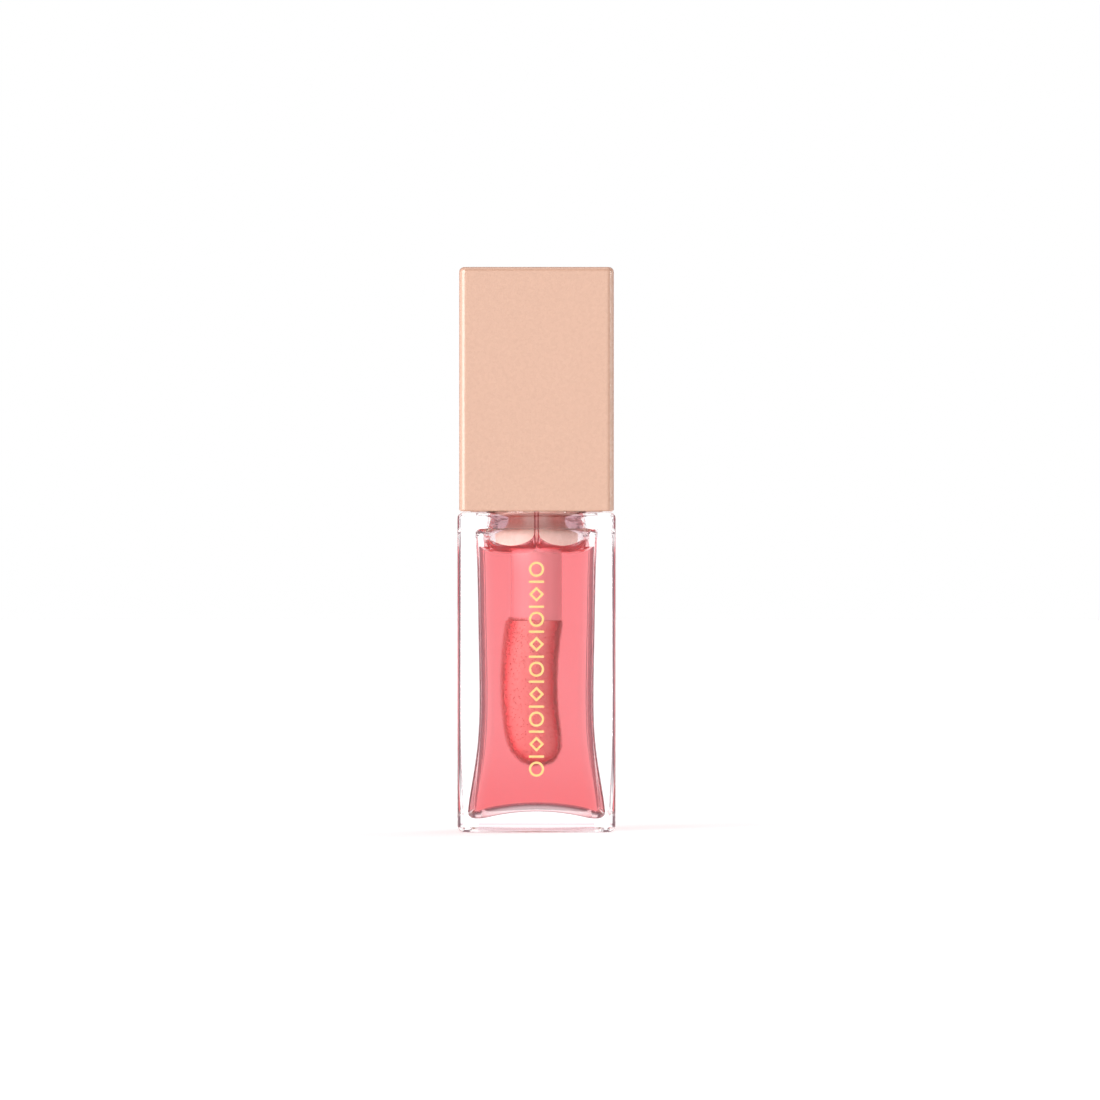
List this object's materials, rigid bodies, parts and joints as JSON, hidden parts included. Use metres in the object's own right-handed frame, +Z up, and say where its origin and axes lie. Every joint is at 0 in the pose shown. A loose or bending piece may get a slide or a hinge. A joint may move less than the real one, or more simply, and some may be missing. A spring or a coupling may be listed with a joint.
{
  "type": "lip gloss tube",
  "caption": "Square thick-walled glass bottle of lip oil with a square screw cap, a round wand stem and a bowed flocked applicator tip.",
  "frame": {"origin": "middle of the bottle's base, on the surface it stands on", "axes": "+Z up along the screw axis; the front, with the foil ornament, faces -Y"},
  "size_m": [0.019, 0.019, 0.0679],
  "materials": {
    "clear_glass": "polished clear glass",
    "coral_oil": "clear coral-pink lip oil, a liquid",
    "wiper_soft": "soft peach-tinted polyethylene",
    "gasket_foam": "soft white liner",
    "cap_peach": "satin-gloss peach moulded plastic",
    "sleeve_white": "peach-tinted polypropylene",
    "stem_blush": "pale blush translucent plastic",
    "core_natural": "natural moulded plastic",
    "flock_coral": "short flock, soaked with oil",
    "gold_foil": "hot-stamped gold foil"
  },
  "bodies": {
    "bottle": {"bottle": "clear_glass", "lip_oil": "coral_oil", "wiper": "wiper_soft", "foil_ornament": "gold_foil"},
    "gasket": {"rim_gasket": "gasket_foam"},
    "wand": {"wand_stem": "stem_blush"},
    "cap": {"cap_shell": "cap_peach", "cap_inner_sleeve": "sleeve_white", "tip_core": "core_natural", "tip_flock": "flock_coral"}
  },
  "joints": [
    {"name": "wand_pull", "type": "slide", "parent": "bottle", "child": "gasket", "axis": [0, 0, 1], "range_m": [0, 0.05], "deforming": ["wiper", "lip_oil"]},
    {"name": "cap_rise", "type": "slide", "parent": "gasket", "child": "wand", "axis": [0, 0, 1], "range_m": [0, 0.0034]},
    {"name": "cap_unscrew", "type": "hinge", "parent": "wand", "child": "cap", "pos_m": [0, 0, 0], "axis": [0, 0, 1], "range_deg": [0, 480]}
  ],
  "couplings": [
    {"joint": "cap_rise", "follows": "cap_unscrew", "m_per_rad": 0.00039789}
  ]
}
